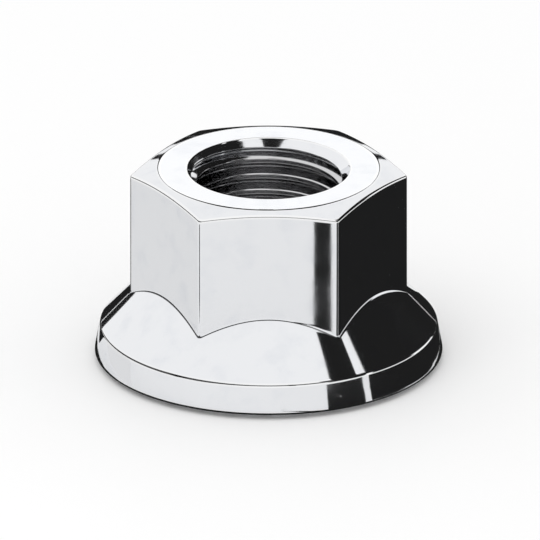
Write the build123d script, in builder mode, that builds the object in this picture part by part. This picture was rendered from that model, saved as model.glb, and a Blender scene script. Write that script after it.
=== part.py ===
"""Serrated hexagon flange nut, M12 x 1.25, cold formed from one piece of steel.

The nut stands on its serrated bearing face, with +Z along the bore towards the
wrench end. The origin is on the bore's axis, in the plane of the tooth crests.
Two flats of the hexagon face +Y and -Y. All sizes are in millimetres and degrees.
"""

import os
from math import radians, tan

from build123d import *

# Bore: the solid is open to the thread's minor diameter
thread_diameter = 12.0
thread_pitch = 1.25
pitches_from_major_to_minor = 1.0825  # on the diameter
minor_radius = (thread_diameter - pitches_from_major_to_minor * thread_pitch) / 2
countersink_radius = 6.1
countersink_angle = 75.0  # included angle, at both ends of the bore

# Hexagon
across_flats = 18.0
nut_height = 15.0
corner_radius = 0.45  # along the six upright edges
top_face_radius = 8.25  # outside of the flat ring that the top chamfer leaves
top_chamfer_angle = 16.0  # below the horizontal

# Flange
flange_radius = 13.0  # where the rim's draft would meet the underside
rim_foot_height = 0.4  # the rim stops short of the bearing plane
rim_top_radius = 12.6
rim_top_height = 2.6
flange_slope = 47.0  # of the cone that climbs from the rim to the hexagon
cone_end_radius = 8.0  # the cone runs on to here inside the hexagon
rim_top_round = 0.35
rim_foot_round = 0.2
neck_fillet = 0.4  # where the flats run into the cone

# Serrations: ratchet teeth, deeper towards the rim
bearing_radius = 11.9  # outside this the underside rises to the foot of the rim
tooth_count = 30
tooth_depth = 0.3  # at the bearing radius
tooth_land = 0.2  # flat left on each crest, at the bearing radius
locking_flank_angle = 70.0  # the steep flank, which bites as the nut is loosened
gap_inner_radius = 3.0  # each gap is cut from inside the bore
gap_outer_radius = 14.0  # to outside the rim


def cone_height(radius):
    """Height of the flange's cone at a distance from the bore's axis."""
    return rim_top_height + (rim_top_radius - radius) * tan(radians(flange_slope))


def chamfer_height(radius):
    """Height of the top chamfer's cone at a distance from the bore's axis."""
    return nut_height - (radius - top_face_radius) * tan(radians(top_chamfer_angle))


def tooth_gap_outline(radius):
    """Corners of the gap between two crests, on a plane square to the radius.

    The first corner is below the locking flank, the second is the root and the
    third is below the ramp. The flanks run on below the crests to cut clear.
    """
    scale = radius / bearing_radius
    half_pitch = radius * tan(radians(180 / tooth_count))
    half_gap = half_pitch - tooth_land / 2 * scale
    depth = tooth_depth * scale
    locking_slope = tan(radians(locking_flank_angle))
    root = depth / locking_slope - half_gap
    ramp_slope = depth / (half_gap - root)
    overrun = depth / 2
    return [
        (-half_gap - overrun / locking_slope, -overrun),
        (root, depth),
        (half_gap + overrun / ramp_slope, -overrun),
    ]


# One gap between teeth: its flanks are planes that meet at the origin
with BuildPart() as tooth_gap:
    for plane_radius in (gap_inner_radius, gap_outer_radius):
        with BuildSketch(Plane.YZ.offset(plane_radius)):
            Polygon(*tooth_gap_outline(plane_radius), align=None)
    loft(ruled=True)

with BuildPart() as flange_nut:
    # Hexagonal bar with rounded edges
    with BuildSketch():
        RegularPolygon(across_flats / 2, side_count=6, major_radius=False)
        fillet(vertices(), corner_radius)
    extrude(amount=nut_height)

    # Turned envelope: the top chamfer cuts a hyperbola into each flat
    with BuildSketch(Plane.XZ):
        with BuildLine():
            Polyline(
                (0, 0),
                (flange_radius, 0),
                (flange_radius, chamfer_height(flange_radius)),
                (top_face_radius, nut_height),
                (0, nut_height),
                close=True,
            )
        make_face()
    revolve(axis=Axis.Z, mode=Mode.INTERSECT)

    # Flange: a tapered underside, a drafted rim and a cone that climbs to the flats
    with BuildSketch(Plane.XZ):
        with BuildLine():
            Polyline(
                (0, 0),
                (bearing_radius, 0),
                (flange_radius, rim_foot_height),
                (rim_top_radius, rim_top_height),
                (cone_end_radius, cone_height(cone_end_radius)),
                (0, cone_height(cone_end_radius)),
                close=True,
            )
        make_face()
        fillet(vertices().sort_by(Axis.X)[-2], rim_top_round)
        fillet(vertices().sort_by(Axis.X)[-1], rim_foot_round)
    revolve(axis=Axis.Z)

    # Neck, along the edges where the cone has just met the flats and their corners
    fillet(edges(Select.NEW), neck_fillet)

    # Bore, countersunk at both ends
    for end in (Plane.XY.offset(nut_height), Plane.XY.rotated((180, 0, 0))):
        with Locations(end):
            CounterSinkHole(minor_radius, countersink_radius, counter_sink_angle=countersink_angle)

    # Serrations
    with PolarLocations(radius=0, count=tooth_count):
        add(tooth_gap.part, mode=Mode.SUBTRACT)

flange_nut.part.label = "flange_nut"
os.makedirs("parts", exist_ok=True)
export_step(flange_nut.part, "parts/flange_nut.step")
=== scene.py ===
"""Looks of a serrated flange nut, M12 x 1.25, in bright zinc plate.

The visible nut is one closed mesh made of three sleeves round the bore's axis: an
outside that runs from the top face over the hexagon to the rim, an underside with
its ratchet teeth, and a bore with a right-hand thread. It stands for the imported
solid and fills the same space. Lengths are in metres and angles in radians, unless
a description gives another unit.
"""

import logging
import math
from dataclasses import dataclass
from enum import Enum
from typing import Any, Callable, Mapping, Sequence

import bmesh
import bpy
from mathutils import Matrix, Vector


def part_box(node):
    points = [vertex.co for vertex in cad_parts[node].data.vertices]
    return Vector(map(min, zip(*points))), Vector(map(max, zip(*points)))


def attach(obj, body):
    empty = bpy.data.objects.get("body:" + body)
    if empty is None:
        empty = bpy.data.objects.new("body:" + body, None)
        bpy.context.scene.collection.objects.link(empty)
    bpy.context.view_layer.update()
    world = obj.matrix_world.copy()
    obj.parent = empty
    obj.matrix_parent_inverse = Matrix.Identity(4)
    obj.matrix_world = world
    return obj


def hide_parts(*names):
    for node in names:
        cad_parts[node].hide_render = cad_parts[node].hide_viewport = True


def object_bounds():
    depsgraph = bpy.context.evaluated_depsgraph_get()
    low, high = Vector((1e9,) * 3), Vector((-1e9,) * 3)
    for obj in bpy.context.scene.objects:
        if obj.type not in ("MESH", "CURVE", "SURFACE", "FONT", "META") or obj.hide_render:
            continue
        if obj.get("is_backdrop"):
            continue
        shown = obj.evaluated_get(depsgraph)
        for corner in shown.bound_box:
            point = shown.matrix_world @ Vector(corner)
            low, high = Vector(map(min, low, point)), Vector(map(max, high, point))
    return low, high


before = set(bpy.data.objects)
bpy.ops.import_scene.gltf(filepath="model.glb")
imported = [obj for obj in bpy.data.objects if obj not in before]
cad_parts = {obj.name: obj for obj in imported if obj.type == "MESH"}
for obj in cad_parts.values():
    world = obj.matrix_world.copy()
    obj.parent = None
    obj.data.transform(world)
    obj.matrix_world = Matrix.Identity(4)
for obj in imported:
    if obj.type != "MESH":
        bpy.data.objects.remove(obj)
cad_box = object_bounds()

Colour = tuple[float, float, float, float]

MM = 0.001
MICRON = 0.000001
FULL_TURN = 2 * math.pi
WHITE: Colour = (1.0, 1.0, 1.0, 1.0)
BLACK: Colour = (0.0, 0.0, 0.0, 1.0)

log = logging.getLogger("flange_nut")


def soft_max(a: float, b: float, blend: float) -> float:
    """The larger of two numbers, with the corner where they cross rounded off.

    Args:
        a: One number.
        b: The other number.
        blend: How far apart they are when the rounding ends.

    Returns:
        The larger number, or up to a quarter of the blend more.
    """
    overlap = max(blend - abs(a - b), 0.0) / blend
    return max(a, b) + overlap * overlap * blend / 4


def soft_min(a: float, b: float, blend: float) -> float:
    """The smaller of two numbers, with the corner where they cross rounded off."""
    return -soft_max(-a, -b, blend)


def evenly(start: float, end: float, count: int) -> list[float]:
    """Numbers that divide a span into equal parts, without its two ends."""
    return [start + (end - start) * (step + 1) / (count + 1) for step in range(count)]


def add_object(name: str, data: bpy.types.ID) -> bpy.types.Object:
    """Makes an object and adds it to the scene.

    Args:
        name: The object's name.
        data: Its mesh, lamp or lens.

    Returns:
        The object.
    """
    made = bpy.data.objects.new(name, data)
    bpy.context.scene.collection.objects.link(made)
    return made


# Turned profiles ---------------------------------------------------------------------


@dataclass(frozen=True)
class Spot:
    """A point of a profile.

    Attributes:
        radius: Distance from the axis.
        height: Height above the bearing plane.
        wear_and_highlight: How far handling has worn the plate there, which is also how strongly a
            highlight is painted on it, from 0 to 1.
    """

    radius: float
    height: float
    wear_and_highlight: float = 0.0

    def at(self, angle: float) -> Vector:
        """The point's place once the profile stands at an angle round the axis."""
        return Vector((self.radius * math.cos(angle), self.radius * math.sin(angle), self.height))


@dataclass(frozen=True)
class Corner:
    """A corner of a profile, taken off by an arc.

    Attributes:
        radius: Distance from the axis, where the two legs would meet.
        height: Height above the bearing plane, where the two legs would meet.
        rounding: Radius of the arc, or 0 for a plain point on the way.
        chords: Number of straight steps in the arc.
        wear_and_highlight: How worn the arc is, and how strongly a highlight is painted along it.
        margin: How far past the arc the wear_and_highlight value has faded out, on both legs.
    """

    radius: float
    height: float
    rounding: float = 0.0
    chords: int = 4
    wear_and_highlight: float = 0.0
    margin: float = 0.12 * MM

    def flat(self) -> Vector:
        """The corner as a vector of radius and height."""
        return Vector((self.radius, self.height))

    def spots(self, before: "Corner", after: "Corner") -> list[Spot]:
        """Points of the softened corner, with a point on each leg just past the arc.

        Args:
            before: The corner that the profile comes from.
            after: The corner that the profile goes to.

        Returns:
            The points in order.
        """
        if not self.rounding:
            return [Spot(self.radius, self.height, self.wear_and_highlight)]
        here = self.flat()
        back = (before.flat() - here).normalized()
        ahead = (after.flat() - here).normalized()
        half_angle = back.angle(ahead) / 2
        setback = self.rounding / math.tan(half_angle)
        centre = here + (back + ahead).normalized() * self.rounding / math.sin(half_angle)
        first = (here + back * setback - centre).normalized()
        last = (here + ahead * setback - centre).normalized()
        shares = [step / self.chords for step in range(self.chords + 1)]
        arc = [centre + first.slerp(last, share) * self.rounding for share in shares]
        lead_in = here + back * (setback + self.margin)
        lead_out = here + ahead * (setback + self.margin)
        return [Spot(*lead_in), *(Spot(*point, self.wear_and_highlight) for point in arc), Spot(*lead_out)]


def trace(corners: Sequence[Corner]) -> list[Spot]:
    """Points of a profile, with the corners between its two ends softened.

    Args:
        corners: The profile's corners, in order.

    Returns:
        The points in order.
    """
    spots = [Spot(corners[0].radius, corners[0].height)]
    for before, corner, after in zip(corners, corners[1:], corners[2:]):
        spots.extend(corner.spots(before, after))
    spots.append(Spot(corners[-1].radius, corners[-1].height))
    return spots


# The closed mesh ---------------------------------------------------------------------


@dataclass(frozen=True)
class Ring:
    """Vertices round the axis.

    Attributes:
        angles: The vertices' angles, in order, within one turn.
        vertices: The vertices.
    """

    angles: Sequence[float]
    vertices: Sequence[bmesh.types.BMVert]

    def __len__(self) -> int:
        """The number of vertices."""
        return len(self.angles)

    def vertex(self, index: int) -> bmesh.types.BMVert:
        """A vertex, counted on past the first turn."""
        return self.vertices[index % len(self)]

    def angle(self, index: int) -> float:
        """A vertex's angle, counted on past the first turn."""
        return self.angles[index % len(self)] + FULL_TURN * (index // len(self))


class TurnedMesh:
    """A mesh of sleeves round the Z axis, joined ring to ring into one closed skin."""

    def __init__(self) -> None:
        """Starts an empty mesh that carries, on each vertex, how worn it is and how strongly a
        highlight is painted there.
        """
        self.skin = bmesh.new()
        # Per-vertex value for worn edges, which also sets a painted highlight along them in the
        # plate's colour.
        self.wear_and_highlight = self.skin.verts.layers.float.new("wear_and_highlight")

    def vertex(self, angle: float, spot: Spot) -> bmesh.types.BMVert:
        """Adds a vertex for a point of a profile.

        Args:
            angle: Where the profile stands round the axis.
            spot: The point.

        Returns:
            The vertex.
        """
        made = self.skin.verts.new(spot.at(angle))
        made[self.wear_and_highlight] = spot.wear_and_highlight
        return made

    def sleeve(
        self, angles: Sequence[float], profile: Callable[[float], list[Spot]]
    ) -> tuple[Ring, Ring]:
        """Adds a sleeve of four-sided faces.

        Args:
            angles: Where its columns stand, in order, within one turn.
            profile: Gives a column's points for its angle, the same number for each.

        Returns:
            The ring of first points and the ring of last points.
        """
        columns = [[self.vertex(angle, spot) for spot in profile(angle)] for angle in angles]
        for left, right in zip(columns, columns[1:] + columns[:1]):
            for a, b, c, d in zip(left, left[1:], right[1:], right):
                self.skin.faces.new((a, b, c, d))
        first, last = ([column[end] for column in columns] for end in (0, -1))
        return Ring(angles, first), Ring(angles, last)

    def zip_up(self, near: Ring, far: Ring) -> None:
        """Fills the band between two rings that have different columns, with triangles.

        Args:
            near: The ring that the sleeve before the band ends with.
            far: The ring that the sleeve after it starts with.
        """
        i, j = 0, 0
        while i < len(near) or j < len(far):
            near_is_next = near.angle(i + 1) <= far.angle(j + 1)
            if i < len(near) and (near_is_next or j == len(far)):
                self.skin.faces.new((near.vertex(i), near.vertex(i + 1), far.vertex(j)))
                i += 1
            else:
                self.skin.faces.new((near.vertex(i), far.vertex(j + 1), far.vertex(j)))
                j += 1

    def finished(self, name: str) -> bpy.types.Object:
        """Checks that the mesh is closed and makes it an object with smooth shading.

        Args:
            name: The object's name.

        Returns:
            The object, linked to the scene.
        """
        bmesh.ops.recalc_face_normals(self.skin, faces=self.skin.faces)
        for face in self.skin.faces:
            face.smooth = True
        open_edges = sum(not edge.is_manifold for edge in self.skin.edges)
        if open_edges:
            raise ValueError(f"{name} has {open_edges} open edges")
        mesh = bpy.data.meshes.new(name)
        self.skin.to_mesh(mesh)
        self.skin.free()
        made = add_object(name, mesh)
        weighted = made.modifiers.new("even_shading", "WEIGHTED_NORMAL")
        weighted.keep_sharp = True
        return made


# Features of the nut -----------------------------------------------------------------


@dataclass(frozen=True)
class Hexagon:
    """The wrenching hexagon, with two of its corners on the X axis.

    Attributes:
        across_flats: Distance between two opposite flats.
        corner_radius: Radius of its upright corners.
        top_face_radius: Radius of the level face that the top chamfer leaves.
        top_chamfer_angle: Fall of the top chamfer's cone.
        sides: Number of flats.
        corner_columns: Columns of vertices round a corner, between its ends.
        flat_columns: Columns of vertices along a flat.
        corner_margin: Where the columns beside a corner stand, as a multiple of its span.
    """

    across_flats: float = 18.0 * MM
    corner_radius: float = 0.45 * MM
    top_face_radius: float = 8.25 * MM
    top_chamfer_angle: float = math.radians(16)
    sides: int = 6
    corner_columns: int = 5
    flat_columns: int = 19
    corner_margin: float = 1.5

    @property
    def sector(self) -> float:
        """Angle from one corner to the next."""
        return FULL_TURN / self.sides

    @property
    def corner_centre(self) -> float:
        """Distance of a rounded corner's centre from the axis."""
        return (self.across_flats / 2 - self.corner_radius) / math.cos(self.sector / 2)

    @property
    def corner_span(self) -> float:
        """Where a corner's flat begins.

        Returns:
            The angle at the axis from the corner's middle.
        """
        ahead = self.corner_centre + self.corner_radius * math.cos(self.sector / 2)
        aside = self.corner_radius * math.sin(self.sector / 2)
        return math.atan2(aside, ahead)

    def from_corner(self, angle: float) -> float:
        """Angle at the axis to the nearest corner."""
        return abs((angle + self.sector / 2) % self.sector - self.sector / 2)

    def wall_at(self, angle: float) -> float:
        """Where the upright wall stands.

        Args:
            angle: The direction in which it is met.

        Returns:
            The wall's distance from the axis.
        """
        aside = self.from_corner(angle)
        if aside >= self.corner_span:
            return self.across_flats / 2 / math.cos(self.sector / 2 - aside)
        reach = self.corner_radius**2 - (self.corner_centre * math.sin(aside)) ** 2
        return self.corner_centre * math.cos(aside) + math.sqrt(reach)

    def angles(self) -> list[float]:
        """Columns for one turn, close together round each corner.

        Returns:
            Their angles, in order.
        """
        span, margin = self.corner_span, self.corner_span * self.corner_margin
        corner = [-margin, -span, *evenly(-span, span, self.corner_columns), span, margin]
        sector = corner + evenly(margin, self.sector - margin, self.flat_columns)
        return [side * self.sector + angle for side in range(self.sides) for angle in sector]

    def chamfer_height(self, radius: float, top: float) -> float:
        """Height of the top chamfer's cone at a distance from the axis, below a top face."""
        return top - (radius - self.top_face_radius) * math.tan(self.top_chamfer_angle)


@dataclass(frozen=True)
class Flange:
    """The conical flange, whose rim stops short of the bearing plane.

    Attributes:
        radius: Radius at the rim's foot.
        foot_height: Height of the rim's foot.
        top_radius: Radius at the rim's top, where the cone begins.
        top_height: Height of the rim's top.
        slope: Rise of the cone towards the hexagon.
        bearing_radius: Radius of the bearing face.
    """

    radius: float = 13.0 * MM
    foot_height: float = 0.4 * MM
    top_radius: float = 12.6 * MM
    top_height: float = 2.6 * MM
    slope: float = math.radians(47)
    bearing_radius: float = 11.9 * MM

    def cone_height(self, radius: float) -> float:
        """Height of the cone at a distance from the axis."""
        return self.top_height + (self.top_radius - radius) * math.tan(self.slope)

    def rim_at(self, share: float) -> Corner:
        """A point on the drafted rim, from its foot at 0 to its top at 1."""
        radius = self.radius + (self.top_radius - self.radius) * share
        return Corner(radius, self.foot_height + (self.top_height - self.foot_height) * share)

    @property
    def underside_slope(self) -> float:
        """Rise of the underside per unit of radius, outside the bearing face."""
        return self.foot_height / (self.radius - self.bearing_radius)


@dataclass(frozen=True)
class Serrations:
    """Ratchet teeth of the bearing face. Their flanks are planes through the origin.

    Each gap is a shape at unit radius that grows with the radius. A gap is centred on
    the X axis, with its locking flank on the clockwise side seen from above.

    Attributes:
        bearing_radius: Radius of the bearing face.
        count: Number of teeth.
        depth: Depth of a gap at the bearing radius.
        land: Width of a tooth's crest at the bearing radius.
        locking_angle: Steepness of the locking flank.
        rounding: How far a crest or root is rounded, at the bearing radius.
        ramp_columns: Columns of vertices along a tooth's ramp.
        column_gap: Angle between the columns that follow a crest or a root.
    """

    bearing_radius: float = 11.9 * MM
    count: int = 30
    depth: float = 0.3 * MM
    land: float = 0.2 * MM
    locking_angle: float = math.radians(70)
    rounding: float = 0.025 * MM
    ramp_columns: int = 3
    column_gap: float = math.radians(0.1)

    @property
    def pitch(self) -> float:
        """Angle from one tooth to the next."""
        return FULL_TURN / self.count

    @property
    def half_gap(self) -> float:
        """Half of a gap's width at unit radius."""
        return math.tan(self.pitch / 2) - self.land / 2 / self.bearing_radius

    @property
    def root(self) -> float:
        """Where a gap is deepest, at unit radius."""
        return self.depth / self.bearing_radius / math.tan(self.locking_angle) - self.half_gap

    def rise_at(self, angle: float) -> float:
        """How far the underside stands above the bearing plane.

        Args:
            angle: The direction in which it is met.

        Returns:
            Its height for each unit of radius.
        """
        aside = (angle + self.pitch / 2) % self.pitch - self.pitch / 2
        across = math.tan(aside)
        blend = self.rounding / self.bearing_radius
        locking_flank = (across + self.half_gap) * math.tan(self.locking_angle)
        ramp_slope = self.depth / self.bearing_radius / (self.half_gap - self.root)
        ramp = (self.half_gap - across) * ramp_slope
        gap = soft_max(soft_min(locking_flank, ramp, blend), 0.0, blend)
        return gap * math.cos(aside)

    def angles(self) -> list[float]:
        """Columns for one turn, close together at each crest and root.

        Returns:
            Their angles, in order.
        """
        crest, root, ramp_end = (math.atan(x) for x in (-self.half_gap, self.root, self.half_gap))
        near = self.column_gap
        before_end = ramp_end - 2 * near
        tooth = [crest - near, crest, crest + near, root - near, root, root + near]
        tooth += evenly(root + near, before_end, self.ramp_columns)
        tooth += [before_end, ramp_end, ramp_end + near]
        return [index * self.pitch + angle for index in range(self.count) for angle in tooth]


@dataclass(frozen=True)
class Thread:
    """A right-hand ISO metric internal thread.

    Attributes:
        major_radius: Distance of its roots from the axis.
        minor_radius: Distance of its crests from the axis.
        pitch: Its climb in one turn.
        crest_share: Width of a crest, as a share of the pitch.
        root_share: Width of a root, as a share of the pitch.
        start: Where it starts, as a share of a turn.
        rounding: How far its crests and roots are rounded.
    """

    major_radius: float = 6.0 * MM
    minor_radius: float = 5.3234 * MM
    pitch: float = 1.25 * MM
    crest_share: float = 1 / 4
    root_share: float = 1 / 8
    start: float = 0.5
    rounding: float = 0.12 * MM

    def wall_at(self, angle: float, height: float) -> float:
        """Where the thread's wall stands.

        Args:
            angle: The direction in which it is met.
            height: The height at which it is met.

        Returns:
            The wall's distance from the axis.
        """
        turns = (height / self.pitch - angle / FULL_TURN + self.start) % 1.0
        from_root = abs(turns - 1 / 2)
        crest_edge = (1 - self.crest_share) / 2
        flank = crest_edge - self.root_share / 2
        cut = (crest_edge - from_root) / flank * (self.major_radius - self.minor_radius)
        wall = soft_max(self.minor_radius + cut, self.minor_radius, self.rounding)
        return soft_min(wall, self.major_radius, self.rounding)


@dataclass(frozen=True)
class BoreColumn:
    """One line of vertices up the bore's wall.

    Attributes:
        foot: The vertex in the level ring at the foot.
        rows: The vertices between, from the lowest up, by the number of their row.
        top: The vertex in the level ring at the top.
    """

    foot: bmesh.types.BMVert
    rows: dict[int, bmesh.types.BMVert]
    top: bmesh.types.BMVert

    def up_to(self, last: int) -> list[bmesh.types.BMVert]:
        """The vertices from the foot up to a row."""
        return [self.foot, *(vertex for row, vertex in self.rows.items() if row <= last)]

    def down_to(self, last: int) -> list[bmesh.types.BMVert]:
        """The vertices from the top down to a row."""
        return [self.top, *(self.rows[row] for row in reversed(self.rows) if row >= last)]


@dataclass(frozen=True)
class Bore:
    """The tapped bore, countersunk at both ends.

    Attributes:
        height: Height of the nut.
        thread: The thread in it.
        mouth_radius: Radius of both countersinks at their mouths.
        countersink_angle: Angle across a countersink.
        plain_top: Depth of the upper countersink's plain part.
        plain_foot: Depth of the lower countersink's plain part.
        burr: Rounding where the thread runs out into a countersink.
        runout_slope: How much the thread may deepen per unit of depth as it runs in.
        columns: Columns of vertices round the bore.
        rows_per_pitch: Rows of vertices in one pitch of the thread.
    """

    height: float
    thread: Thread = Thread()
    mouth_radius: float = 6.1 * MM
    countersink_angle: float = math.radians(75)
    plain_top: float = 0.2 * MM
    plain_foot: float = 0.3 * MM
    burr: float = 0.04 * MM
    runout_slope: float = 4.0
    columns: int = 120
    rows_per_pitch: int = 32

    @property
    def countersink_depth(self) -> float:
        """Depth at which the countersink has narrowed to the thread's crests."""
        return (self.mouth_radius - self.thread.minor_radius) / math.tan(self.countersink_angle / 2)

    def countersink_at(self, depth: float) -> float:
        """Distance of the countersink from the axis, at a depth below the nearer end."""
        return self.mouth_radius - depth * math.tan(self.countersink_angle / 2)

    def wall(self, angle: float, height: float) -> Spot:
        """A point of the wall, thread and countersinks together.

        Args:
            angle: Its angle round the axis.
            height: Its height.

        Returns:
            The point.
        """
        at_foot = height < self.height / 2
        depth = height if at_foot else self.height - height
        plain = self.plain_foot if at_foot else self.plain_top
        cone = self.countersink_at(depth)
        runout = cone - self.burr + self.runout_slope * (depth - plain)
        thread = min(self.thread.wall_at(angle, height), runout)
        return Spot(soft_max(thread, cone, self.burr), height)

    def levels(self, angle: float) -> dict[int, float]:
        """Heights of the rows that climb along the thread.

        Args:
            angle: Where they are met. Round one turn each row climbs to the next pitch.

        Returns:
            The heights by row, for the rows at least half a step inside the level rings.
        """
        step = self.thread.pitch / self.rows_per_pitch
        climb = self.thread.pitch * angle / FULL_TURN
        first = math.ceil((self.plain_foot - climb) / step + 1 / 2)
        last = math.floor((self.height - self.plain_top - climb) / step - 1 / 2)
        return {row: row * step + climb for row in range(first, last + 1)}

    def column(self, mesh: TurnedMesh, angle: float) -> BoreColumn:
        """Adds a column of vertices.

        Args:
            mesh: The mesh to add it to.
            angle: Its angle round the axis.

        Returns:
            The column.
        """
        foot = Spot(self.countersink_at(self.plain_foot), self.plain_foot)
        top = Spot(self.countersink_at(self.plain_top), self.height - self.plain_top)
        levels = self.levels(angle)
        return BoreColumn(
            mesh.vertex(angle, foot),
            {row: mesh.vertex(angle, self.wall(angle, level)) for row, level in levels.items()},
            mesh.vertex(angle, top),
        )

    def join(self, mesh: TurnedMesh, left: BoreColumn, right: BoreColumn, climbed: int) -> None:
        """Adds the faces between two neighbouring columns.

        At each end one face takes up the vertices that have no row in common.

        Args:
            mesh: The mesh to add them to.
            left: A column.
            right: The next column anticlockwise.
            climbed: How far its row numbers are ahead. Where the turn closes it is a pitch.
        """
        shared = [row for row in left.rows if row + climbed in right.rows]
        for row in shared[:-1]:
            near = [left.rows[row], left.rows[row + 1]]
            far = [right.rows[row + climbed], right.rows[row + 1 + climbed]]
            mesh.skin.faces.new(near + far[::-1])
        lowest, highest = shared[0], shared[-1]
        mesh.skin.faces.new(left.up_to(lowest) + right.up_to(lowest + climbed)[::-1])
        mesh.skin.faces.new(left.down_to(highest) + right.down_to(highest + climbed)[::-1])

    def sleeve(self, mesh: TurnedMesh) -> tuple[Ring, Ring]:
        """Adds the bore's wall.

        Args:
            mesh: The mesh to add it to.

        Returns:
            The level rings at the foot and at the top.
        """
        angles = [FULL_TURN * index / self.columns for index in range(self.columns)]
        columns = [self.column(mesh, angle) for angle in angles]
        for left, right in zip(columns, columns[1:]):
            self.join(mesh, left, right, 0)
        self.join(mesh, columns[-1], columns[0], self.rows_per_pitch)
        foot, top = [column.foot for column in columns], [column.top for column in columns]
        return Ring(angles, foot), Ring(angles, top)


# Shader maths ------------------------------------------------------------------------


class Signal:
    """A number that varies over a surface: a socket that takes Python's arithmetic."""

    def __init__(self, sheet: "ShaderSheet", socket: bpy.types.NodeSocket) -> None:
        """Wraps an output socket of a sheet."""
        self.sheet = sheet
        self.socket = socket

    def __add__(self, other: "Signal | float") -> "Signal":
        """The sum."""
        return self.sheet.maths("ADD", self, other)

    def __radd__(self, other: float) -> "Signal":
        """The sum, with the plain number first."""
        return self.sheet.maths("ADD", other, self)

    def __sub__(self, other: "Signal | float") -> "Signal":
        """The difference."""
        return self.sheet.maths("SUBTRACT", self, other)

    def __rsub__(self, other: float) -> "Signal":
        """The difference, taken from the plain number."""
        return self.sheet.maths("SUBTRACT", other, self)

    def __mul__(self, other: "Signal | float") -> "Signal":
        """The product."""
        return self.sheet.maths("MULTIPLY", self, other)

    def __rmul__(self, other: float) -> "Signal":
        """The product, with the plain number first."""
        return self.sheet.maths("MULTIPLY", other, self)

    def __truediv__(self, other: "Signal | float") -> "Signal":
        """The quotient."""
        return self.sheet.maths("DIVIDE", self, other)

    def __rtruediv__(self, other: float) -> "Signal":
        """The quotient of the plain number by this one."""
        return self.sheet.maths("DIVIDE", other, self)

    def __abs__(self) -> "Signal":
        """The size without the sign."""
        return self.sheet.maths("ABSOLUTE", self)

    def root(self) -> "Signal":
        """The square root."""
        return self.sheet.maths("SQRT", self)

    def rising(self, low: float, high: float) -> "Signal":
        """A smooth step.

        Args:
            low: Where it leaves 0.
            high: Where it reaches 1.

        Returns:
            The step, from 0 to 1.
        """
        inputs = {"Value": self, "From Min": low, "From Max": high}
        step = self.sheet.node("ShaderNodeMapRange", {"interpolation_type": "SMOOTHSTEP"}, inputs)
        return Signal(self.sheet, step.outputs["Result"])


class ShaderSheet:
    """The node tree of one material or of the world."""

    MIX_FACTOR, MIX_FROM, MIX_TO, MIX_RESULT = 0, 6, 7, 2

    def __init__(self, tree: bpy.types.NodeTree) -> None:
        """Takes over a tree and empties it."""
        self.tree = tree
        self.tree.nodes.clear()

    @classmethod
    def of_material(cls, name: str) -> tuple[bpy.types.Material, "ShaderSheet"]:
        """Makes a material.

        Args:
            name: Its name.

        Returns:
            The material and its empty sheet.
        """
        made = bpy.data.materials.new(name)
        made.use_nodes = True
        return made, cls(made.node_tree)

    def node(
        self,
        kind: str,
        settings: Mapping[str, Any] | None = None,
        inputs: Mapping[str | int, Any] | None = None,
    ) -> bpy.types.Node:
        """Adds a node.

        Args:
            kind: The node's type.
            settings: Its properties by name, which are set first.
            inputs: Plain values, signals or sockets, by the input's name or number.

        Returns:
            The new node.
        """
        made = self.tree.nodes.new(kind)
        for name, value in (settings or {}).items():
            setattr(made, name, value)
        for name, value in (inputs or {}).items():
            source = value.socket if isinstance(value, Signal) else value
            if isinstance(source, bpy.types.NodeSocket):
                self.tree.links.new(source, made.inputs[name])
            else:
                made.inputs[name].default_value = source
        return made

    def maths(self, operation: str, *numbers: Signal | float) -> Signal:
        """One step of arithmetic on signals and plain numbers."""
        step = self.node("ShaderNodeMath", {"operation": operation}, dict(enumerate(numbers)))
        return Signal(self, step.outputs[0])

    def signal(self, kind: str, output: str) -> Signal:
        """An output of a node that needs nothing, such as Light Path."""
        return Signal(self, self.node(kind).outputs[output])

    def split(self, vector: bpy.types.NodeSocket) -> tuple[Signal, Signal, Signal]:
        """The three parts of a vector."""
        parts = self.node("ShaderNodeSeparateXYZ", inputs={"Vector": vector}).outputs
        return Signal(self, parts["X"]), Signal(self, parts["Y"]), Signal(self, parts["Z"])

    def noise(self, x: Signal, y: Signal, z: Signal, detail: float) -> Signal:
        """Smooth noise, with one ripple for each unit of its place.

        Args:
            x: First part of its place.
            y: Second part.
            z: Third part.
            detail: How many rounds of finer ripples lie over it.

        Returns:
            The noise, about 0 and from -0.5 to 0.5.
        """
        place = self.node("ShaderNodeCombineXYZ", inputs={"X": x, "Y": y, "Z": z}).outputs[0]
        inputs = {"Vector": place, "Scale": 1.0, "Detail": detail, "Roughness": 0.5}
        made = self.node("ShaderNodeTexNoise", {"noise_dimensions": "3D"}, inputs)
        return Signal(self, made.outputs["Fac"]) - 0.5

    def blend(self, share: Signal, start: Any, end: Any) -> bpy.types.NodeSocket:
        """Mixes two colours.

        Args:
            share: How much of the second colour there is, from 0 to 1.
            start: The first colour, plain or a socket.
            end: The second colour.

        Returns:
            The mixed colour.
        """
        inputs = {self.MIX_FACTOR: share, self.MIX_FROM: start, self.MIX_TO: end}
        mixed = self.node("ShaderNodeMix", {"data_type": "RGBA"}, inputs)
        return mixed.outputs[self.MIX_RESULT]

    def show(self, output: str, shader: bpy.types.Node) -> None:
        """Adds the output node of a type, and gives it a shader."""
        self.node(output, inputs={"Surface": shader.outputs[0]})


# Finishes ----------------------------------------------------------------------------


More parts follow.
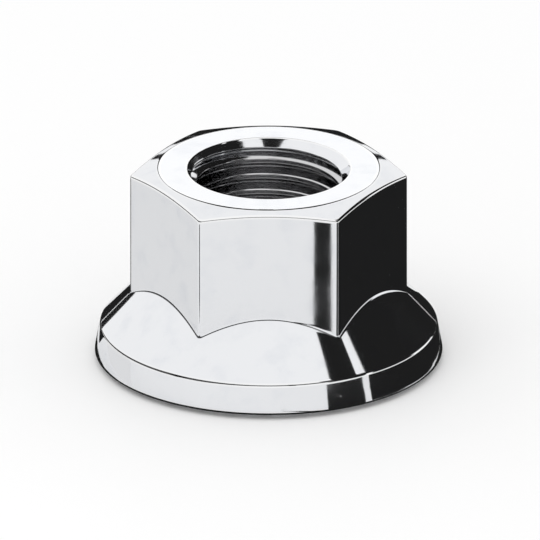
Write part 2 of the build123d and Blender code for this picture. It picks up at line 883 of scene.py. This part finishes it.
class NutZones:
    """Where each kind of face lies on the nut, as signals. Lengths are in millimetres.

    Attributes:
        place: The place, as X, Y and Z.
        radius: Distance from the axis.
        flats: 1 on the hexagon's flats and 0 elsewhere.
        thread: 1 on the thread and 0 elsewhere.
        wear_and_highlight: How far handling has worn the plate, and how strongly a highlight is
            painted there, from 0 to 1.
        FADE: How far from its end a zone begins to fade.
        NECK_FADE: How high above the neck the zone of the flats is full.
        LEAN_OF_UPRIGHT: The most that the normal of an upright face rises or falls.
        LEAN_OF_SLOPING: The least that the normal of any other face does.
    """

    FADE = 0.1
    NECK_FADE = 0.4
    LEAN_OF_UPRIGHT, LEAN_OF_SLOPING = 0.25, 0.4

    def __init__(self, sheet: ShaderSheet, nut: "FlangeNut") -> None:
        """Adds the nodes that tell the zones apart.

        Args:
            sheet: The sheet to add them to.
            nut: The nut, whose sizes say where the zones end.
        """
        coordinates = sheet.node("ShaderNodeTexCoord").outputs["Object"]
        normal = sheet.node("ShaderNodeNewGeometry").outputs["Normal"]
        worn_and_highlit = sheet.node("ShaderNodeAttribute", {"attribute_name": "wear_and_highlight"})
        x, y, z = (part / MM for part in sheet.split(coordinates))
        lean = abs(sheet.split(normal)[2])
        mouth = nut.bore.mouth_radius / MM
        neck = nut.flange.top_height / MM
        middle = nut.height / MM / 2
        reach = middle - nut.bore.countersink_depth / MM

        self.place = (x, y, z)
        self.radius = (x * x + y * y).root()
        outside = self.radius.rising(mouth - self.FADE, mouth)
        upright = 1 - lean.rising(self.LEAN_OF_UPRIGHT, self.LEAN_OF_SLOPING)
        self.flats = upright * outside * z.rising(neck, neck + self.NECK_FADE)
        countersunk = abs(z - middle).rising(reach - self.FADE, reach + self.FADE)
        self.thread = (1 - outside) * (1 - countersunk)
        self.wear_and_highlight = Signal(sheet, worn_and_highlit.outputs["Fac"])


@dataclass(frozen=True)
class Ripples:
    """A pattern of noise.

    Attributes:
        level: Ripples for each unit of the first two parts of a place.
        upright: Ripples for each unit of the third part.
        detail: How many rounds of finer ripples lie over them.
        height: Height of the relief that they make.
    """

    level: float
    upright: float
    detail: float
    height: float = 0.0

    def at(self, sheet: ShaderSheet, x: Signal, y: Signal, z: Signal) -> Signal:
        """The noise at a place."""
        return sheet.noise(x * self.level, y * self.level, z * self.upright, self.detail)


@dataclass(frozen=True)
class BrightZinc:
    """Bright zinc plate on cold-formed steel, with what each tool left under it.

    Attributes:
        plate: Colour of the plate.
        clouded: Colour where the passivation has clouded it.
        worn_edge_highlight: Colour of worn edges, lighter than the plate: partly real wear, partly a
            painted highlight along the edges.
        cut: Colour of the thread, darker than the plate: partly the thin plate on the tapped thread,
            partly painted shade deep in the bore.
        haze_band: The noise at which the clouding begins, and at which it is full.
        haze_share: How far clouded places turn to their colour.
        worn_edge_highlight_share: How far worn edges turn to that colour, partly real wear and
            partly painted highlight.
        roughness: Roughness of the open faces.
        thread_roughness: Added to it on the thread.
        haze_roughness: Added to it where the plate is clouded.
        grain_roughness: Added to it by the grain.
        wear_gloss: Taken from it on worn edges.
        swell: The broad waves that forming leaves.
        clouds: The pattern of the clouding.
        clouds_shift: How far it is moved off the swell's, in millimetres.
        grain: The plate's fine grain.
        turned_lines: Lines round the axis, left by the dies and the tap.
        drawn_lines: Lines up the flats.
    """

    plate: Colour = (0.82, 0.83, 0.85, 1.0)
    clouded: Colour = (0.72, 0.74, 0.78, 1.0)
    worn_edge_highlight: Colour = (0.92, 0.92, 0.92, 1.0)
    cut: Colour = (0.62, 0.62, 0.63, 1.0)
    haze_band: tuple[float, float] = (-0.05, 0.25)
    haze_share: float = 0.5
    worn_edge_highlight_share: float = 0.8
    roughness: float = 0.055
    thread_roughness: float = 0.05
    haze_roughness: float = 0.04
    grain_roughness: float = 0.03
    wear_gloss: float = 0.02
    swell: Ripples = Ripples(0.35, 0.35, 1.0, 3.0 * MICRON)
    clouds: Ripples = Ripples(0.5, 0.5, 4.0)
    clouds_shift: float = 14.0
    grain: Ripples = Ripples(9.0, 9.0, 3.0, 0.15 * MICRON)
    turned_lines: Ripples = Ripples(3.0, 7.0, 3.0, 0.3 * MICRON)
    drawn_lines: Ripples = Ripples(5.0, 0.3, 3.0, 0.3 * MICRON)

    def relief(self, sheet: ShaderSheet, zones: NutZones, grain: Signal) -> bpy.types.NodeSocket:
        """The fine relief under the plate's gloss.

        Args:
            sheet: The sheet to add it to.
            zones: The nut's zones.
            grain: The plate's grain.

        Returns:
            The bumped normal.
        """
        x, y, z = zones.place
        swell = self.swell.at(sheet, x, y, z)
        turned = self.turned_lines.at(sheet, x / zones.radius, y / zones.radius, zones.radius + z)
        drawn = self.drawn_lines.at(sheet, x, y, z)
        height = swell * self.swell.height + grain * self.grain.height
        height = height + turned * (1 - zones.flats) * self.turned_lines.height
        height = height + drawn * zones.flats * self.drawn_lines.height
        inputs = {"Strength": 1.0, "Distance": 1.0, "Height": height}
        return sheet.node("ShaderNodeBump", inputs=inputs).outputs[0]

    def colour(self, sheet: ShaderSheet, zones: NutZones, haze: Signal) -> bpy.types.NodeSocket:
        """The plate's colour.

        Args:
            sheet: The sheet to add it to.
            zones: The nut's zones.
            haze: How clouded the plate is.

        Returns:
            The colour.
        """
        colour = sheet.blend(haze, self.plate, self.clouded)
        # The thread is darkened: partly its thin plate, partly painted shade deep in the bore.
        colour = sheet.blend(zones.thread, colour, self.cut)
        # Worn edges are lightened in colour: partly real wear, partly a painted highlight that draws
        # a bright line along each rounded edge.
        return sheet.blend(zones.wear_and_highlight * self.worn_edge_highlight_share, colour, self.worn_edge_highlight)

    def material(self, nut: "FlangeNut") -> bpy.types.Material:
        """Makes the material.

        Args:
            nut: The nut that it goes on.

        Returns:
            The material.
        """
        made, sheet = ShaderSheet.of_material("bright_zinc")
        zones = NutZones(sheet, nut)
        x, y, z = zones.place
        grain = self.grain.at(sheet, x, y, z)
        clouds = self.clouds.at(sheet, x + self.clouds_shift, y, z)
        haze = clouds.rising(*self.haze_band) * self.haze_share
        roughness = self.roughness + zones.thread * self.thread_roughness
        roughness = roughness + haze * self.haze_roughness + grain * self.grain_roughness
        inputs = {
            "Base Color": self.colour(sheet, zones, haze),
            "Metallic": 1.0,
            "Roughness": roughness - zones.wear_and_highlight * self.wear_gloss,
            "Normal": self.relief(sheet, zones, grain),
        }
        shader = sheet.node("ShaderNodeBsdfPrincipled", inputs=inputs)
        sheet.show("ShaderNodeOutputMaterial", shader)
        return made


@dataclass(frozen=True)
class PaleBoard:
    """Matt white board. From below it is clear, so that the nut's teeth can be looked at.

    Attributes:
        colour: The board's colour.
        roughness: Its roughness.
        lift: Light added for the camera alone, so that the open board reads as white.
    """

    colour: Colour = (0.93, 0.93, 0.93, 1.0)
    roughness: float = 0.9
    lift: float = 0.06

    def material(self) -> bpy.types.Material:
        """Makes the material.

        Returns:
            The material.
        """
        made, sheet = ShaderSheet.of_material("pale_board")
        seen = sheet.signal("ShaderNodeLightPath", "Is Camera Ray")
        from_below = sheet.signal("ShaderNodeNewGeometry", "Backfacing")
        inputs = {
            "Base Color": self.colour,
            "Roughness": self.roughness,
            "Specular IOR Level": 0.0,
            "Emission Color": sheet.blend(seen, BLACK, WHITE),
            "Emission Strength": self.lift,
        }
        board = sheet.node("ShaderNodeBsdfPrincipled", inputs=inputs)
        clear = sheet.node("ShaderNodeBsdfTransparent")
        layers = {0: from_below, 1: board.outputs[0], 2: clear.outputs[0]}
        sheet.show("ShaderNodeOutputMaterial", sheet.node("ShaderNodeMixShader", inputs=layers))
        return made


@dataclass(frozen=True)
class PlainGlow:
    """A card's finish, of one even brightness whatever light falls on it.

    Attributes:
        name: The material's name.
        brightness: Its brightness, where 1 looks white.
    """

    name: str
    brightness: float

    def material(self) -> bpy.types.Material:
        """Makes the material.

        Returns:
            The material.
        """
        made, sheet = ShaderSheet.of_material(self.name)
        glow = sheet.node("ShaderNodeEmission", inputs={"Strength": self.brightness})
        sheet.show("ShaderNodeOutputMaterial", glow)
        return made


# The nut -----------------------------------------------------------------------------


@dataclass(frozen=True)
class FlangeNut:
    """The nut: one piece of steel, from its top face to its teeth.

    Attributes:
        height: Its height.
        hexagon: Its wrenching hexagon.
        flange: Its flange.
        serrations: The teeth of its bearing face.
        bore: Its tapped bore.
        finish: Its finish.
        top_edge_rounding: Softening of the edge round the top face.
        chamfer_edge_rounding: Softening of the edge between the chamfer and the flats.
        neck_fillet: Fillet where the flats run into the flange.
        rim_top_rounding: Rounding of the rim's top edge.
        rim_foot_rounding: Rounding of the rim's lower edge.
        edge_rounding: Softening of the bore's mouths and of the bearing face's edge.
        upper_seam: Depth in the upper countersink where the outside starts.
        rim_seam: Where the outside ends on the rim and the underside starts, as shares.
        lower_seam: Height in the lower countersink where the underside ends.
        rows: Number of rows up a flat, and across the bearing face.
        foot_margin: How far the worn edge and its painted highlight reach past the lower mouth.
    """

    height: float
    hexagon: Hexagon
    flange: Flange
    serrations: Serrations
    bore: Bore
    finish: BrightZinc = BrightZinc()
    top_edge_rounding: float = 0.8 * MM
    chamfer_edge_rounding: float = 0.2 * MM
    neck_fillet: float = 0.4 * MM
    rim_top_rounding: float = 0.35 * MM
    rim_foot_rounding: float = 0.2 * MM
    edge_rounding: float = 0.06 * MM
    upper_seam: float = 0.12 * MM
    rim_seam: tuple[float, float] = (0.6, 0.45)
    lower_seam: float = 0.22 * MM
    rows: int = 3
    foot_margin: float = 0.02 * MM

    def outside(self, angle: float) -> list[Spot]:
        """The profile from the upper countersink over the hexagon to half way down the rim.

        Args:
            angle: Where it stands round the axis.

        Returns:
            Its points in order.
        """
        hexagon, flange, bore = self.hexagon, self.flange, self.bore
        wall = hexagon.wall_at(angle)
        shoulder = hexagon.chamfer_height(wall, self.height)
        neck = flange.cone_height(wall)
        # Each rounded edge's worn value also sets how strongly a highlight is painted along it.
        corners = [
            Corner(bore.countersink_at(self.upper_seam), self.height - self.upper_seam),
            Corner(bore.mouth_radius, self.height, self.edge_rounding, chords=3, wear_and_highlight=1.0),
            Corner(hexagon.top_face_radius, self.height, self.top_edge_rounding, chords=3, wear_and_highlight=0.6),
            Corner(wall, shoulder, self.chamfer_edge_rounding, wear_and_highlight=1.0),
            *(Corner(wall, height) for height in evenly(shoulder, neck, self.rows)),
            Corner(wall, neck, self.neck_fillet, chords=5),
            Corner(flange.top_radius, flange.top_height, self.rim_top_rounding, chords=5, wear_and_highlight=0.8),
            flange.rim_at(self.rim_seam[0]),
        ]
        return trace(corners)

    def underside(self, angle: float) -> list[Spot]:
        """The profile from half way down the rim over the teeth to the lower countersink.

        Args:
            angle: Where it stands round the axis.

        Returns:
            Its points in order.
        """
        flange, bore = self.flange, self.bore
        rise = self.serrations.rise_at(angle)
        edge = flange.underside_slope * flange.bearing_radius / (flange.underside_slope - rise)
        mouth = bore.mouth_radius / (1 + rise * math.tan(bore.countersink_angle / 2))
        # Each rounded edge's worn value also sets how strongly a highlight is painted along it.
        corners = [
            flange.rim_at(self.rim_seam[1]),
            Corner(flange.radius, flange.foot_height, self.rim_foot_rounding, chords=5, wear_and_highlight=0.6),
            Corner(edge, edge * rise, self.edge_rounding, chords=2, wear_and_highlight=0.5),
            *(Corner(radius, radius * rise) for radius in evenly(edge, mouth, self.rows)),
            Corner(mouth, mouth * rise, self.edge_rounding, 3, wear_and_highlight=0.5, margin=self.foot_margin),
            Corner(bore.countersink_at(self.lower_seam), self.lower_seam),
        ]
        return trace(corners)

    def build(self) -> bpy.types.Object:
        """Makes the closed mesh of the nut.

        Returns:
            The nut.
        """
        mesh = TurnedMesh()
        outside_top, outside_foot = mesh.sleeve(self.hexagon.angles(), self.outside)
        underside_rim, underside_mouth = mesh.sleeve(self.serrations.angles(), self.underside)
        bore_foot, bore_top = self.bore.sleeve(mesh)
        mesh.zip_up(outside_foot, underside_rim)
        mesh.zip_up(underside_mouth, bore_foot)
        mesh.zip_up(bore_top, outside_top)
        return mesh.finished("threaded_flange_nut")

    def dress(self, piece: bpy.types.Object) -> None:
        """Plates the nut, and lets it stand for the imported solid.

        Args:
            piece: The nut's mesh.
        """
        piece.data.materials.append(self.finish.material(self))
        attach(piece, "root")
        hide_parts("flange_nut")


# The studio --------------------------------------------------------------------------


class Seen(Enum):
    """Which rays meet a thing of the studio."""

    BY_ALL = "by all rays"
    IN_REFLECTIONS = "in reflections only"

    def show(self, thing: bpy.types.Object) -> None:
        """Sets the rays that meet a thing, and marks it as no part of the nut.

        Args:
            thing: The board or a card.
        """
        everything = self is Seen.BY_ALL
        thing.visible_camera = everything
        thing.visible_diffuse = everything
        thing.visible_shadow = everything
        thing.visible_transmission = everything
        thing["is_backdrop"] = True


def direction(azimuth: float, elevation: float) -> Vector:
    """A unit vector, from degrees round from the X axis and degrees above the board."""
    a, e = math.radians(azimuth), math.radians(elevation)
    return Vector((math.cos(a) * math.cos(e), math.sin(a) * math.cos(e), math.sin(e)))


def stand_off(thing: bpy.types.Object, aim: Vector, towards: Vector, distance: float) -> None:
    """Places a lamp or the camera, and points it at the nut.

    Args:
        thing: The lamp or the camera.
        aim: The place that it looks at.
        towards: The direction from there to the thing.
        distance: How far off it stands.
    """
    thing.location = aim + towards * distance
    thing.rotation_mode = "QUATERNION"
    thing.rotation_quaternion = towards.to_track_quat("Z", "Y")


def card(
    name: str, rows: Sequence[Sequence[Vector]], finish: PlainGlow | PaleBoard, seen: Seen
) -> None:
    """Adds a sheet to the studio.

    Args:
        name: Its name.
        rows: Its points, row by row, all rows of the same length.
        finish: Its finish.
        seen: Which rays meet it.
    """
    sheet = bmesh.new()
    lines = [[sheet.verts.new(point) for point in row] for row in rows]
    for lower, upper in zip(lines, lines[1:]):
        for a, b, c, d in zip(lower, lower[1:], upper[1:], upper):
            sheet.faces.new((a, b, c, d))
    mesh = bpy.data.meshes.new(name)
    sheet.to_mesh(mesh)
    sheet.free()
    mesh.materials.append(finish.material())
    seen.show(add_object(name, mesh))


def circle(radius: float, height: float, points: int = 72) -> list[Vector]:
    """Places round the Z axis, clockwise from above, with the first one again at the end."""
    turns = [-FULL_TURN * step / points for step in range(points + 1)]
    return [Vector((radius * math.cos(turn), radius * math.sin(turn), height)) for turn in turns]


@dataclass(frozen=True)
class SkyFlag:
    """A curved card far round the nut, which only reflections see.

    Attributes:
        name: The card's name.
        foot: Its lower edge, as pairs of azimuth and elevation in degrees.
        head: Its upper edge, as many pairs.
        brightness: How bright it looks.
        distance: How far off it stands.
        steps: Number of faces up the card, and along each stretch of its edges.
    """

    name: str
    foot: Sequence[tuple[float, float]]
    head: Sequence[tuple[float, float]]
    brightness: float = 0.015
    distance: float = 300 * MM
    steps: int = 10

    def build(self) -> None:
        """Adds the card."""
        foot, head = self.refined(self.foot), self.refined(self.head)
        shares = [step / self.steps for step in range(self.steps + 1)]
        rows = [[low.lerp(high, share) for low, high in zip(foot, head)] for share in shares]
        places = [[direction(*pair) * self.distance for pair in row] for row in rows]
        card(self.name, places, PlainGlow(self.name, self.brightness), Seen.IN_REFLECTIONS)

    def refined(self, edge: Sequence[tuple[float, float]]) -> list[Vector]:
        """Divides each stretch of an edge.

        Args:
            edge: The edge's pairs.

        Returns:
            The same edge with more pairs.
        """
        pairs = [Vector(pair) for pair in edge]
        points = [pairs[0]]
        for start, end in zip(pairs, pairs[1:]):
            points.extend(start.lerp(end, (step + 1) / self.steps) for step in range(self.steps))
        return points


@dataclass(frozen=True)
class NearFlag:
    """A flat or folded card close to the nut, which only reflections see.

    Attributes:
        name: The card's name.
        near: One of its edges, as places in millimetres. Two numbers lie on the board.
        far: The edge across from it, with as many places.
        brightness: How bright it looks.
        lift: Height above the board of a place that lies on it, in millimetres.
    """

    name: str
    near: Sequence[tuple[float, ...]]
    far: Sequence[tuple[float, ...]]
    brightness: float = 0.015
    lift: float = 0.02

    def place(self, numbers: tuple[float, ...]) -> Vector:
        """A place in metres, from its two or three numbers."""
        return Vector(numbers if len(numbers) == 3 else (*numbers, self.lift)) * MM

    def build(self) -> None:
        """Adds the card."""
        rows = [[self.place(numbers) for numbers in edge] for edge in (self.near, self.far)]
        card(self.name, rows, PlainGlow(self.name, self.brightness), Seen.IN_REFLECTIONS)


@dataclass(frozen=True)
class Softbox:
    """A square lamp that looks at the nut.

    Attributes:
        name: The lamp's name.
        azimuth: Degrees round from the X axis.
        elevation: Degrees above the board.
        size: Length of its side.
        brightness: Its brightness, where 1 looks white.
        reflected: Whether the metal mirrors it.
        distance: How far off it stands.
    """

    name: str
    azimuth: float
    elevation: float
    size: float
    brightness: float
    reflected: bool
    distance: float = 250 * MM

    def build(self, aim: Vector) -> None:
        """Adds the lamp.

        Args:
            aim: The place that it looks at.
        """
        lamp = bpy.data.lights.new(self.name, "AREA")
        lamp.size = self.size
        lamp.energy = self.brightness * math.pi * self.size**2
        made = add_object(self.name, lamp)
        stand_off(made, aim, direction(self.azimuth, self.elevation), self.distance)
        made.visible_glossy = self.reflected


@dataclass(frozen=True)
class Board:
    """The white board that the nut stands on, open under the nut's bearing face.

    No one sees the opening from above. From below it lets light reach the teeth.

    Attributes:
        half_width: Radius of the board.
        drop: How far it lies below the bearing plane.
        opening: Inner and outer radius of the opening.
        pinhole: Radius of the hole in the middle, where the faces would meet in a point.
    """

    half_width: float = 600 * MM
    drop: float = 0.01 * MM
    opening: tuple[float, float] = (6.3 * MM, 11.7 * MM)
    pinhole: float = 0.063 * MM

    def build(self) -> None:
        """Adds the board and the disc of it that shows through the bore."""
        inner, outer = self.opening
        spans = {"board_in_bore": (self.pinhole, inner), "board": (outer, self.half_width)}
        for name, radii in spans.items():
            rings = [circle(radius, -self.drop) for radius in radii]
            card(name, rings, PaleBoard(), Seen.BY_ALL)


@dataclass(frozen=True)
class Studio:
    """A white board under soft light, with dark cards for the metal to mirror.

    Each card puts one dark area or one fine dark line on the plate, as seen by the camera.

    Attributes:
        aim: Where the camera and the lamps look.
        width: Width of the camera's view.
        elevation: The camera's height, in degrees above the board.
        camera_azimuth: The camera's degrees round from the X axis.
        camera_distance: How far off the camera stands.
        soft_light: Brightness of the surroundings as a light.
        reflected: Brightness of the surroundings in reflections.
        lamps: The lamps.
        foot_ring_radii: Inner and outer radius of the ring round the foot, in millimetres.
    """

    aim: Vector
    width: float = 40.3 * MM
    elevation: float = 22.2
    camera_azimuth: float = -90.0
    camera_distance: float = 400 * MM
    soft_light: float = 0.92
    reflected: float = 1.02
    lamps: Sequence[Softbox] = (
        Softbox("key_softbox", -130, 58, 140 * MM, 1.1, False),
        Softbox("top_face_softbox", 90, 22, 70 * MM, 1.15, True),
    )
    foot_ring_radii: tuple[float, float] = (12.2, 14.2)

    def light(self) -> None:
        """Sets the surroundings and the lamps. To the camera the surroundings are white."""
        world = bpy.data.worlds.new("white_room")
        world.use_nodes = True
        bpy.context.scene.world = world
        sheet = ShaderSheet(world.node_tree)
        seen = sheet.signal("ShaderNodeLightPath", "Is Camera Ray")
        mirrored = sheet.signal("ShaderNodeLightPath", "Is Glossy Ray")
        strength = seen * (1 - self.soft_light) + mirrored * (self.reflected - self.soft_light)
        inputs = {"Color": WHITE, "Strength": strength + self.soft_light}
        sheet.show("ShaderNodeOutputWorld", sheet.node("ShaderNodeBackground", inputs=inputs))
        for lamp in self.lamps:
            lamp.build(self.aim)

    def sky_flags(self) -> list[SkyFlag]:
        """Cards far round the nut.

        Returns:
            The cards.
        """
        return [
            # The flange's dark right side, with a slit of light between the first two
            SkyFlag("front_flag", ((-52, 8), (-25.5, 8)), ((-31, 62), (-7, 62))),
            SkyFlag(
                "side_flag",
                ((-19, 11), (22, 11), (24, 24), (36, 19.5), (52, 9)),
                ((3, 72), (20, 72), (30, 72), (45, 72), (58, 72)),
            ),
            SkyFlag("end_flag", ((49, 0), (66, 0)), ((49, 62), (66, 62))),
            # The dark left side of the upper countersink
            SkyFlag(
                "bore_flag",
                ((-48.5, 30), (-30, 30), (-5, 30)),
                ((-48.5, 51), (-30, 51), (-5, 44.5)),
            ),
            # Fine dark lines: round the top face, along its far edge, and along the
            # other edges and the neck
            SkyFlag("lamp_flag", ((79, 11), (101, 11)), ((79, 50), (101, 50))),
            SkyFlag("back_flag", ((66, 0), (122, 0)), ((66, 5), (122, 5))),
            SkyFlag(
                "edge_flag",
                ((122, 0), (135, 1), (150, 2), (195, 3), (225, 5), (260, 18), (315, 18)),
                ((122, 3.5), (135, 12), (150, 21), (195, 40), (225, 42), (260, 40), (315, 40)),
                0.08,
            ),
            # Below the board, for the teeth
            SkyFlag("teeth_flag", ((-30, -70), (60, -70)), ((-30, -8), (60, -8))),
        ]

    def near_flags(self) -> list[NearFlag]:
        """Cards close to the nut.

        Returns:
            The cards.
        """
        rings = [[tuple(place.xy) for place in circle(radius, 0)] for radius in self.foot_ring_radii]
        return [
            # The dark rim and the dark flat on the right, with the slit's end between
            NearFlag("front_patch", ((4.9, -12.7), (8.5, -11.3)), ((41, -58), (60, -35.3))),
            NearFlag(
                "side_patch",
                ((9.5, -11), (13, -7.2), (14.6, -1.5), (13.6, 5), (10.5, 10)),
                ((60, -29.9), (80, -15), (95, 5), (130, 110), (60, 160)),
            ),
            # The dark band on the front flat
            NearFlag("front_strip", ((3.4, -13.2), (4.65, -13.2)), ((3.4, -32.5), (4.65, -32.5))),
            NearFlag(
                "front_post",
                ((3.4, -20, 4.7), (4.65, -20, 4.7)),
                ((3.4, -20, 10.1), (4.65, -20, 10.1)),
            ),
            # The dark stroke on the upper countersink
            NearFlag(
                "bore_card",
                ((-0.75, 0.3, 20), (0.34, 0.3, 20)),
                ((-0.75, 2.9, 20), (0.34, 2.9, 20)),
            ),
            # Fine dark lines: up the left corner, down the left end, and round the foot
            NearFlag(
                "corner_post",
                ((-12.43, -13.47, 2.65), (-12.51, -14.73, 4.2), (-14.34, -16.17, 9.4)),
                ((-12.69, -13.03, 2.65), (-13.81, -12.47, 4.2), (-15.98, -13.33, 9.4)),
            ),
            NearFlag(
                "back_patch",
                ((60, 160), (30, 45), (-14, 45), (-14.3, 24), (-14.6, 2.8)),
                ((60, 300), (0, 300), (-100, 260), (-37, 19), (-15.6, 3.6)),
            ),
            NearFlag("foot_ring", *rings),
            # The left flat, a little darker than the front one
            NearFlag("left_patch", ((-14, -7.5), (-20.5, 9)), ((-42, 3), (-48, 30)), 0.84),
        ]

    def furnish(self) -> None:
        """Adds the board and the cards."""
        for thing in (Board(), *self.sky_flags(), *self.near_flags()):
            thing.build()

    def place_camera(self) -> None:
        """Adds the camera, which looks without perspective."""
        lens = bpy.data.cameras.new("camera")
        lens.type = "ORTHO"
        lens.ortho_scale = self.width
        camera = add_object("camera", lens)
        towards = direction(self.camera_azimuth, self.elevation)
        stand_off(camera, self.aim, towards, self.camera_distance)
        bpy.context.scene.camera = camera
        bpy.context.scene.view_settings.view_transform = "Standard"


def write_sizes() -> None:
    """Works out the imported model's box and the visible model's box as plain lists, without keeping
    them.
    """
    boxes = {"cad": cad_box, "visual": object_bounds()}
    {name: [list(corner) for corner in box] for name, box in boxes.items()}


def main() -> None:
    """Builds the nut and its studio."""
    logging.basicConfig(level=logging.INFO, format="%(message)s")
    low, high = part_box("flange_nut")
    height = high.z - low.z
    nut = FlangeNut(height, Hexagon(), Flange(), Serrations(), Bore(height))
    piece = nut.build()
    nut.dress(piece)
    log.info("%s: %d faces", piece.name, len(piece.data.polygons))
    studio = Studio(aim=Vector((0.1 * MM, 0, 6.8 * MM)))
    studio.light()
    studio.furnish()
    studio.place_camera()
    log.info("studio: %d lamps", len(studio.lamps))
    write_sizes()


if __name__ == "__main__":
    main()
